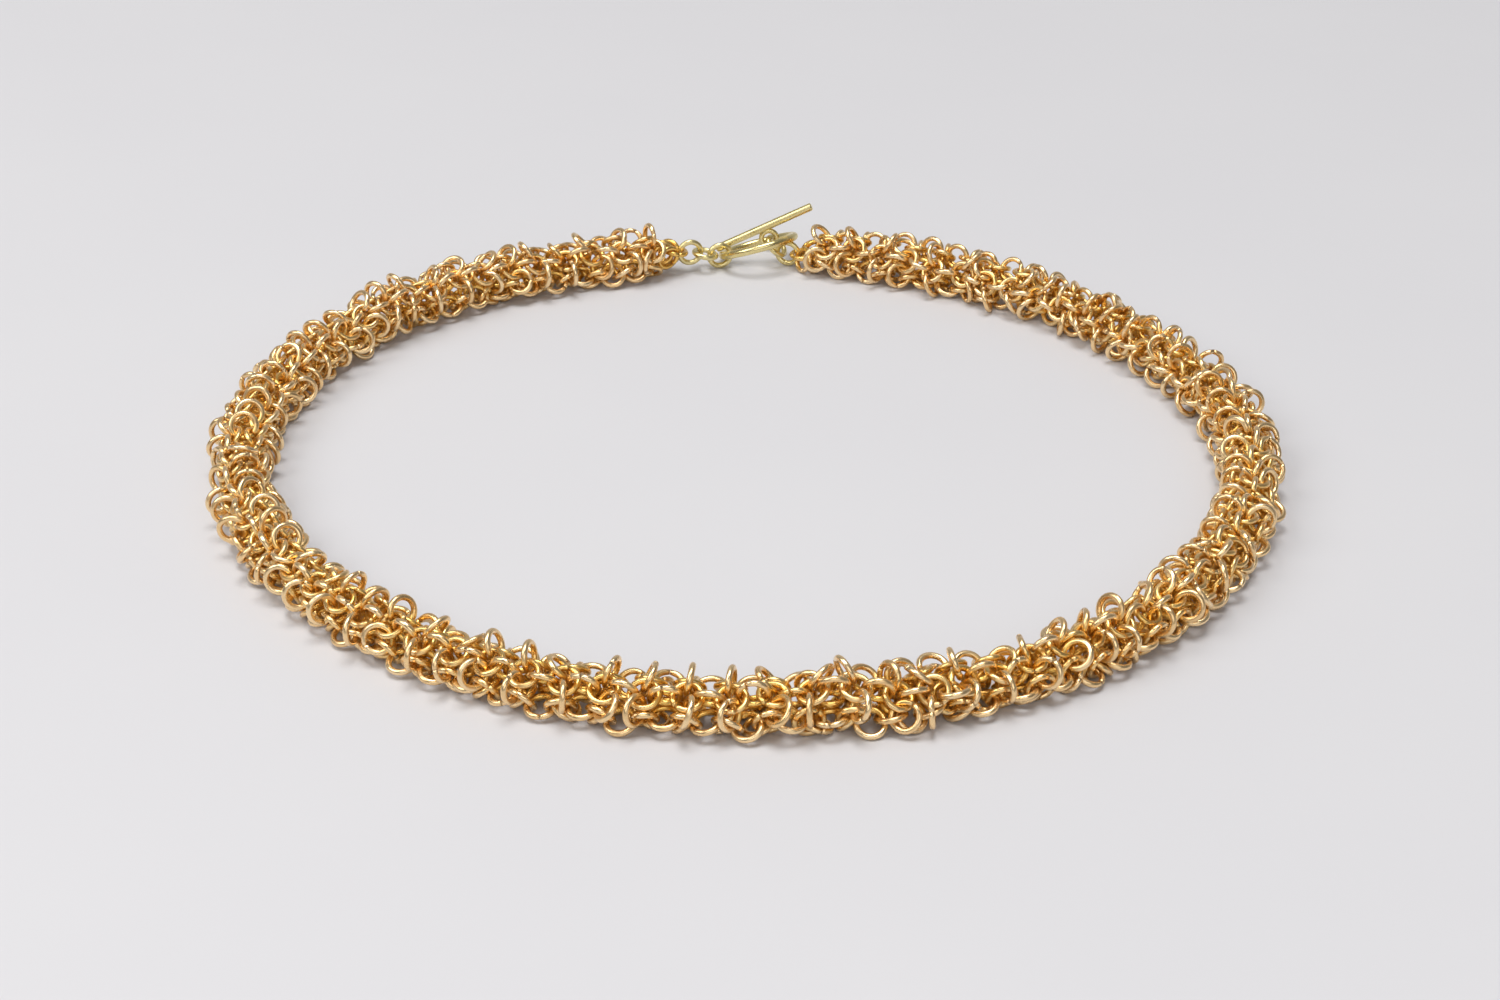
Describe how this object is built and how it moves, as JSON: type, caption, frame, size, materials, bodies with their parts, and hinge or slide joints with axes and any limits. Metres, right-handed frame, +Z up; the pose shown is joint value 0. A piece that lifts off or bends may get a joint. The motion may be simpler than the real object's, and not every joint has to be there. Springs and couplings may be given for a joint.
{
  "type": "collar necklace",
  "caption": "Collar necklace: a thick round rope of linked gold-coloured jump rings, closed at the back by a toggle ring and bar on small round links.",
  "frame": {"origin": "middle of the whole necklace's box, on the surface that it lies on", "axes": "+Z up from the surface; +Y to the back, where the clasp is; +X to the right as seen from the front"},
  "size_m": [0.1412, 0.1438, 0.0098],
  "materials": {
    "woven_gold": "warm gold-plated wire rings, softly polished",
    "clasp_gold": "paler, greener gold wire, polished"
  },
  "bodies": {
    "root": {"woven_rope": "woven_gold", "toggle_ring": "clasp_gold", "toggle_bar": "clasp_gold", "left_link_1": "clasp_gold", "left_link_2": "clasp_gold", "left_link_3": "clasp_gold", "right_link_1": "clasp_gold", "right_link_2": "clasp_gold"}
  },
  "joints": []
}
